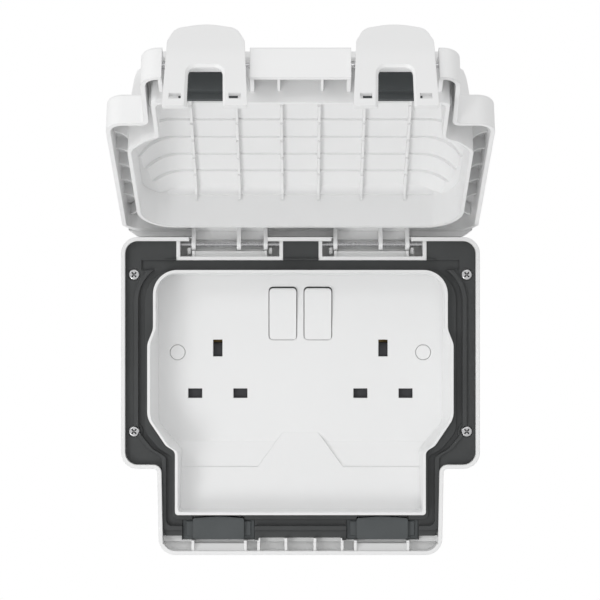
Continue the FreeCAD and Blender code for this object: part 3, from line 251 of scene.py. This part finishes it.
def finishes():
    """The record's material slots and their materials."""
    return {
        "white_case": moulded("case_white", WHITE, 0.42, 0.28, 0.0005),
        "white_lid": moulded("lid_white", WHITE_LID, 0.40, 0.22, 0.0004),
        "white_latch": moulded("latch_white", WHITE_LATCH, 0.34, 0.16, 0.0004),
        "white_plate": moulded("plate_white", WHITE_PLATE, 0.32, 0.12, 0.00035),
        "inner_moulding": moulded("inner_white", INNER_WHITE, 0.48, 0.2, 0.0003),
        "dark_seal": elastomer("seal_black", ELASTOMER, 0.50, 0.0005),
        "dark_pad": elastomer("pad_grey", PAD, 0.58, 0.0005),
        "dark_shutter": moulded("shutter_black", GATE, 0.5, 0.2, 0.0002, 0.8),
        "grey_foam": elastomer("foam_grey", FOAM, 0.85, 0.0),
        # The zinc plating gets painted shade in its recesses
        "plated_steel": metal("zinc_plate", ZINC, 0.24, 0.3, 0.0001, 0.0012),
        "bright_steel": metal("drawn_steel", STEEL, 0.24, 0.2, 0.0001),
        "brass_parts": metal("stamped_brass", BRASS, 0.30, 0.3, 0.0001),
    }


def paint_nodes(by_slot):
    """Every solid gets the material of its slot."""
    slot_of = {row["node"]: row["material_slot"] for row in frame["record"]["subparts"]}
    for name, obj in nodes.items():
        obj.data.materials.clear()
        obj.data.materials.append(by_slot[slot_of[name]])


def on_lid(x, s, t):
    """Point of the open lid: s runs from the hinge to the latches, t out of the lid's rim."""
    across, up = math.sin(OPEN), -math.cos(OPEN)
    return (x, HINGE_Y - s * across + t * up, HINGE_Z + s * up + t * across)


def finish_piece(name, bm, body, slot, bevel):
    """Puts a mesh in the scene with its finish, body and slot, its sharp edges softened."""
    bmesh.ops.recalc_face_normals(bm, faces=bm.faces)
    if bevel > 0:
        sharp = [e for e in bm.edges if len(e.link_faces) == 2 and e.calc_face_angle() > 0.6]
        bmesh.ops.bevel(bm, geom=sharp, offset=bevel, segments=2, profile=0.5, affect="EDGES")
    mesh = bpy.data.meshes.new(name)
    bm.to_mesh(mesh)
    bm.free()
    mesh.materials.append(FINISHES[slot])
    piece = bpy.data.objects.new(name, mesh)
    bpy.context.scene.collection.objects.link(piece)
    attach(piece, body)


def new_piece(name, points, faces, body, slot, bevel):
    """A closed piece from its points and faces."""
    bm = bmesh.new()
    verts = [bm.verts.new(p) for p in points]
    for face in faces:
        bm.faces.new([verts[i] for i in face])
    finish_piece(name, bm, body, slot, bevel)


def evaluated_mesh(obj):
    """Plain mesh of an object with its modifiers applied; the object itself is removed."""
    bpy.context.view_layer.update()
    mesh = bpy.data.meshes.new_from_object(obj.evaluated_get(bpy.context.evaluated_depsgraph_get()))
    bpy.data.objects.remove(obj)
    return mesh


def block_row_tree():
    """Node tree that repeats one block along a straight row."""
    tree = bpy.data.node_groups.new("block_row", "GeometryNodeTree")
    for name, kind in (("Block Size", "Vector"), ("First Centre", "Vector"), ("Step", "Vector"),
                       ("Count", "Int"), ("Finish", "Material")):
        tree.interface.new_socket(name, in_out="INPUT", socket_type="NodeSocket" + kind)
    tree.interface.new_socket("Row", in_out="OUTPUT", socket_type="NodeSocketGeometry")
    given = tree.nodes.new("NodeGroupInput")
    row = tree.nodes.new("GeometryNodeMeshLine")
    row.mode = "OFFSET"
    block = tree.nodes.new("GeometryNodeMeshCube")
    repeat = tree.nodes.new("GeometryNodeInstanceOnPoints")
    solid = tree.nodes.new("GeometryNodeRealizeInstances")
    paint = tree.nodes.new("GeometryNodeSetMaterial")
    result = tree.nodes.new("NodeGroupOutput")
    for source, target in (
            (given.outputs["Count"], row.inputs["Count"]),
            (given.outputs["First Centre"], row.inputs["Start Location"]),
            (given.outputs["Step"], row.inputs["Offset"]),
            (given.outputs["Block Size"], block.inputs["Size"]),
            (row.outputs["Mesh"], repeat.inputs["Points"]),
            (block.outputs["Mesh"], repeat.inputs["Instance"]),
            (repeat.outputs["Instances"], solid.inputs["Geometry"]),
            (solid.outputs["Geometry"], paint.inputs["Geometry"]),
            (given.outputs["Finish"], paint.inputs["Material"]),
            (paint.outputs["Geometry"], result.inputs["Row"])):
        tree.links.new(source, target)
    return tree


def grow_piece(tree, name, values, slot, body, bevel):
    """Piece that a node tree makes from the given values."""
    host = bpy.data.objects.new(name + "_host", bpy.data.meshes.new(name + "_host"))
    bpy.context.scene.collection.objects.link(host)
    grow = host.modifiers.new("grow", "NODES")
    grow.node_group = tree
    for socket in tree.interface.items_tree:
        if socket.in_out == "INPUT":
            grow[socket.identifier] = values[socket.name]
    bm = bmesh.new()
    bm.from_mesh(evaluated_mesh(host))
    finish_piece(name, bm, body, slot, bevel)


def block_row(tree, name, low, high, step, count, slot, body, bevel):
    """Row of equal blocks, the first one between two corners."""
    grow_piece(tree, name, {
        "Block Size": tuple(b - a for a, b in zip(low, high)),
        "First Centre": tuple((a + b) / 2 for a, b in zip(low, high)),
        "Step": (step, 0.0, 0.0), "Count": count, "Finish": FINISHES[slot]}, slot, body, bevel)


def swept(rings):
    """Points and faces of a solid that passes through equal rings."""
    n = len(rings[0])
    points = [p for ring in rings for p in ring]
    faces = [tuple(range(n)), tuple(reversed(range(len(points) - n, len(points))))]
    for k in range(len(rings) - 1):
        for i in range(n):
            a, b = k * n + i, k * n + (i + 1) % n
            faces.append((a, b, b + n, a + n))
    return points, faces


def bricks(boxes):
    """Points and faces of several separate boxes, each given as two opposite corners."""
    points, faces = [], []
    for (x0, y0, z0), (x1, y1, z1) in boxes:
        more, sides = swept([[(x, y0, z0), (x, y1, z0), (x, y1, z1), (x, y0, z1)] for x in (x0, x1)])
        faces += [tuple(i + len(points) for i in side) for side in sides]
        points += more
    return points, faces


def make_lid_lip():
    """Lip along the lid's hinge side that laps over the frame's top, deeper between the lugs."""
    def ring(x, inner, outer, end):
        profile = ((inner, end), (outer, end), (outer, LIP_ROOT_OUT), (inner, LIP_ROOT_IN))
        return [on_lid(x, s, t) for s, t in profile]

    stops = [(-OUTLINE_X, LIP_END)]
    for start in POCKET_STARTS:
        left, right = start + LUGS[0] + LUG_HALF, start + LUGS[2] - LUG_HALF
        stops += [(left - LIP_FIT, LIP_END), (left, FLAP_END), (right, FLAP_END), (right + LIP_FIT, LIP_END)]
    stops.append((OUTLINE_X, LIP_END))
    middle = [ring(x, LIP_IN, LIP_OUT, end) for x, end in stops]

    def corner(sx):
        rings = []
        for k in range(1, CORNER_STEPS + 1):
            angle = math.radians(CORNER_TURN * k / CORNER_STEPS)
            fade = 1.0 - k / CORNER_STEPS
            end = WALL_END + (LIP_END - WALL_END) * fade
            outside = 2 * LIP_FIT + LIP_THICK * fade
            profile = [(LIP_FIT, end), (outside, end), (outside, LIP_ROOT_OUT), (LIP_FIT, LIP_ROOT_IN)]
            rings.append([on_lid(sx * (OUTLINE_X + (OUTLINE_R + off) * math.sin(angle)),
                                 LIP_IN + LIP_FIT + OUTLINE_R - (OUTLINE_R + off) * math.cos(angle), t)
                          for off, t in profile])
        return rings

    rings = corner(-1)[::-1] + middle + corner(1)
    new_piece("lid_back_lip", *swept(rings), "lid", "white_lid", 0.00025)


def make_corner_webs():
    """Curved web across each corner of the lid's side channel by the hinge."""
    start, end = Vector(WEB_START), Vector(WEB_END)
    along = (end - start).normalized()
    across = Vector((-along.y, along.x)) * WEB_HALF
    edge = []
    for k in range(WEB_STEPS + 1):
        share = k / WEB_STEPS
        edge.append((start.lerp(end, share), WEB_LOW + WEB_RISE * (1 - (1 - share) ** WEB_CURVE)))
    for side, sx in (("left", -1), ("right", 1)):
        rings = []
        for way in (-1, 1):
            top = [(p + across * way, t) for p, t in edge]
            foot = [(end + across * way, WEB_FOOT), (start + across * way, WEB_FOOT)]
            rings.append([on_lid(sx * p.x, p.y, t) for p, t in top + foot])
        new_piece("lid_corner_web_" + side, *swept(rings), "lid", "white_lid", 0.0002)


def cleaned(name, mesh, merge=False):
    """Object of a mesh, with its vertices merged or its faces turned outwards."""
    bm = bmesh.new()
    bm.from_mesh(mesh)
    if merge:
        bmesh.ops.remove_doubles(bm, verts=bm.verts, dist=MERGE_GAP)
    else:
        bmesh.ops.recalc_face_normals(bm, faces=bm.faces)
    bm.to_mesh(mesh)
    bm.free()
    obj = bpy.data.objects.new(name, mesh)
    bpy.context.scene.collection.objects.link(obj)
    return obj


def cut_copy(name, node, points, faces, slot, body):
    """Merged copy of a node with boxes cut out of it, which stands for the node."""
    boxes = bpy.data.meshes.new(name + "_cutter")
    boxes.from_pydata(points, [], faces)
    cutter = cleaned(name + "_cutter", boxes)
    shell = cleaned(name + "_copy", nodes[node].data.copy(), merge=True)
    cut = shell.modifiers.new("cut", "BOOLEAN")
    cut.operation = "DIFFERENCE"
    cut.solver = "EXACT"
    cut.object = cutter
    mesh = evaluated_mesh(shell)
    bpy.data.objects.remove(cutter)
    mesh.materials.clear()
    mesh.materials.append(FINISHES[slot])
    piece = bpy.data.objects.new(name, mesh)
    bpy.context.scene.collection.objects.link(piece)
    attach(piece, body)
    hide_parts(node)


def open_skirt_cells():
    """The ledge over the skirt's cells stands back between the ribs."""
    edges = [-r for r in reversed(CELL_RIBS)] + list(CELL_RIBS)
    spans = [(a + RIB_HALF, b - RIB_HALF) for a, b in zip(edges, edges[1:])]
    spans = [(-SKIRT_HALF, edges[0] - RIB_HALF)] + spans + [(edges[-1] + RIB_HALF, SKIRT_HALF)]
    boxes = [((x0, CUT_Y[0], CUT_Z[0]), (x1, CUT_Y[1], CUT_Z[1])) for x0, x1 in spans]
    cut_copy("front_frame_shell", "front_frame", *bricks(boxes), "white_case", "base")


def make_pocket_fittings():
    """Bar, end ribs and stop knobs on the floor of each hinge pocket."""
    tree = block_row_tree()
    for side, start in zip(("left", "right"), POCKET_STARTS):
        first, last = start + LUGS[0], start + LUGS[2]
        knob = first - KNOB_BEFORE
        for name, x0, x1, ys, zs, step, count, bevel in (
                ("pocket_bar_", first - BAR_OVERHANG, last + BAR_OVERHANG, BAR_Y, BAR_Z, 0.0, 1, 0.0004),
                ("pocket_ribs_", first - END_RIB_HALF, first + END_RIB_HALF, END_RIB_Y, END_RIB_Z,
                 last - first, 2, 0.0003),
                ("pocket_knobs_", knob, knob + KNOB_WIDTH, KNOB_Y, KNOB_Z,
                 last + KNOB_AFTER - knob, 2, 0.0005)):
            block_row(tree, name + side, (x0, ys[0], zs[0]), (x1, ys[1], zs[1]), step, count,
                      "white_case", "base", bevel)


def collar_tree():
    """Node tree that sets a ring round each corner of an upright rectangle."""
    tree = bpy.data.node_groups.new("corner_collars", "GeometryNodeTree")
    for name, kind in (("Middle Radius", "Float"), ("Ring Width", "Float"), ("Ring Height", "Float"),
                       ("Span Across", "Float"), ("Span Up", "Float"), ("Depth", "Vector"),
                       ("Finish", "Material")):
        tree.interface.new_socket(name, in_out="INPUT", socket_type="NodeSocket" + kind)
    tree.interface.new_socket("Collars", in_out="OUTPUT", socket_type="NodeSocketGeometry")
    given = tree.nodes.new("NodeGroupInput")
    path = tree.nodes.new("GeometryNodeCurvePrimitiveCircle")
    path.inputs["Resolution"].default_value = COLLAR_SIDES
    section = tree.nodes.new("GeometryNodeCurvePrimitiveQuadrilateral")
    ring = tree.nodes.new("GeometryNodeCurveToMesh")
    places = tree.nodes.new("GeometryNodeMeshGrid")
    places.inputs["Vertices X"].default_value = 2
    places.inputs["Vertices Y"].default_value = 2
    repeat = tree.nodes.new("GeometryNodeInstanceOnPoints")
    stand = tree.nodes.new("GeometryNodeTransform")
    stand.inputs["Rotation"].default_value = (math.pi / 2, 0, 0)
    solid = tree.nodes.new("GeometryNodeRealizeInstances")
    paint = tree.nodes.new("GeometryNodeSetMaterial")
    result = tree.nodes.new("NodeGroupOutput")
    for source, target in (
            (given.outputs["Middle Radius"], path.inputs["Radius"]),
            (given.outputs["Ring Width"], section.inputs["Width"]),
            (given.outputs["Ring Height"], section.inputs["Height"]),
            (path.outputs["Curve"], ring.inputs["Curve"]),
            (section.outputs["Curve"], ring.inputs["Profile Curve"]),
            (given.outputs["Span Across"], places.inputs["Size X"]),
            (given.outputs["Span Up"], places.inputs["Size Y"]),
            (places.outputs["Mesh"], repeat.inputs["Points"]),
            (ring.outputs["Mesh"], repeat.inputs["Instance"]),
            (repeat.outputs["Instances"], stand.inputs["Geometry"]),
            (given.outputs["Depth"], stand.inputs["Translation"]),
            (stand.outputs["Geometry"], solid.inputs["Geometry"]),
            (solid.outputs["Geometry"], paint.inputs["Geometry"]),
            (given.outputs["Finish"], paint.inputs["Material"]),
            (paint.outputs["Geometry"], result.inputs["Collars"])):
        tree.links.new(source, target)
    return tree


def make_gasket_collars():
    """Raised rings of the gasket round the four corner screws, across its groove."""
    grow_piece(collar_tree(), "gasket_collars", {
        "Middle Radius": (COLLAR_IN + COLLAR_OUT) / 2,
        "Ring Width": COLLAR_OUT - COLLAR_IN,
        "Ring Height": COLLAR_BACK - COLLAR_FRONT,
        "Span Across": 2 * CORNER_FIX[0],
        "Span Up": 2 * CORNER_FIX[1],
        "Depth": (0.0, (COLLAR_BACK + COLLAR_FRONT) / 2, 0.0),
        "Finish": FINISHES["dark_seal"]}, "dark_seal", "base", 0.0)


def backdrop_material():
    """Pale floor that keeps its shadows near the object and turns white to the camera further off."""
    material = bpy.data.materials.new("paper_floor")
    material.use_nodes = True
    tree = material.node_tree
    tree.nodes.clear()
    out = tree.nodes.new("ShaderNodeOutputMaterial")
    mix = tree.nodes.new("ShaderNodeMixShader")
    glow = tree.nodes.new("ShaderNodeEmission")
    matt = tree.nodes.new("ShaderNodeBsdfDiffuse")
    path = tree.nodes.new("ShaderNodeLightPath")
    matt.inputs["Color"].default_value = (FLOOR_TONE, FLOOR_TONE, FLOOR_TONE, 1)
    place = tree.nodes.new("ShaderNodeTexCoord")
    reach = tree.nodes.new("ShaderNodeVectorMath")
    reach.operation = "LENGTH"
    far = tree.nodes.new("ShaderNodeMapRange")
    far.interpolation_type = "SMOOTHERSTEP"
    far.inputs["From Min"].default_value = FADE_FROM
    far.inputs["From Max"].default_value = FADE_TO
    seen = tree.nodes.new("ShaderNodeMath")
    seen.operation = "MULTIPLY"
    tree.links.new(place.outputs["Object"], reach.inputs[0])
    tree.links.new(reach.outputs["Value"], far.inputs["Value"])
    tree.links.new(far.outputs["Result"], seen.inputs[0])
    tree.links.new(path.outputs["Is Camera Ray"], seen.inputs[1])
    tree.links.new(seen.outputs[0], mix.inputs[0])
    tree.links.new(matt.outputs[0], mix.inputs[1])
    tree.links.new(glow.outputs[0], mix.inputs[2])
    tree.links.new(mix.outputs[0], out.inputs["Surface"])
    return material


def make_floor():
    """Pale floor under the object, kept out of the part."""
    low, _ = cad_box
    mesh = bpy.data.meshes.new("floor_sheet")
    z = low.z - FLOOR_DROP
    corners = ((-1, -1), (1, -1), (1, 1), (-1, 1))
    mesh.from_pydata([(FLOOR_HALF * x, FLOOR_HALF * y, z) for x, y in corners], [], [(0, 1, 2, 3)])
    floor = bpy.data.objects.new("floor_sheet", mesh)
    bpy.context.scene.collection.objects.link(floor)
    mesh.materials.append(backdrop_material())


def make_world():
    """Even light from all round; the camera sees its background white."""
    world = bpy.data.worlds.new("studio")
    bpy.context.scene.world = world
    world.use_nodes = True
    tree = world.node_tree
    ground = tree.nodes["Background"]
    ground.inputs["Color"].default_value = (1, 1, 1, 1)
    path = tree.nodes.new("ShaderNodeLightPath")
    seen = tree.nodes.new("ShaderNodeMath")
    seen.operation = "MAXIMUM"
    tree.links.new(path.outputs["Is Camera Ray"], seen.inputs[0])
    tree.links.new(path.outputs["Is Transmission Ray"], seen.inputs[1])
    level = tree.nodes.new("ShaderNodeMapRange")
    level.inputs["To Min"].default_value = AMBIENT
    level.inputs["To Max"].default_value = 1.0
    tree.links.new(seen.outputs[0], level.inputs["Value"])
    tree.links.new(level.outputs["Result"], ground.inputs["Strength"])


def make_lamps():
    """Soft disks of light, aimed at the object."""
    target = Vector(LAMP_TARGET)
    for name, (place, size, watts) in LAMPS.items():
        light = bpy.data.lights.new(name, "AREA")
        light.shape = "DISK"
        light.size = size
        light.energy = watts
        lamp = bpy.data.objects.new(name, light)
        lamp.location = place
        lamp.rotation_euler = (target - Vector(place)).to_track_quat("-Z", "Y").to_euler()
        bpy.context.scene.collection.objects.link(lamp)


def make_camera():
    """Level camera at the photograph's distance."""
    data = bpy.data.cameras.new("front_camera")
    data.sensor_width = SENSOR
    data.lens = SENSOR * FOCAL_PX / IMAGE_PX
    camera = bpy.data.objects.new("front_camera", data)
    camera.location = (CENTRE_X, CAMERA_Y, EYE_Z)
    camera.rotation_euler = (math.pi / 2, 0, 0)
    bpy.context.scene.collection.objects.link(camera)
    bpy.context.scene.camera = camera


scene = bpy.context.scene
scene.view_settings.view_transform = "Standard"
FINISHES = finishes()
paint_nodes(FINISHES)
make_lid_lip()
make_corner_webs()
make_pocket_fittings()
open_skirt_cells()
make_gasket_collars()
make_floor()
make_world()
make_lamps()
make_camera()
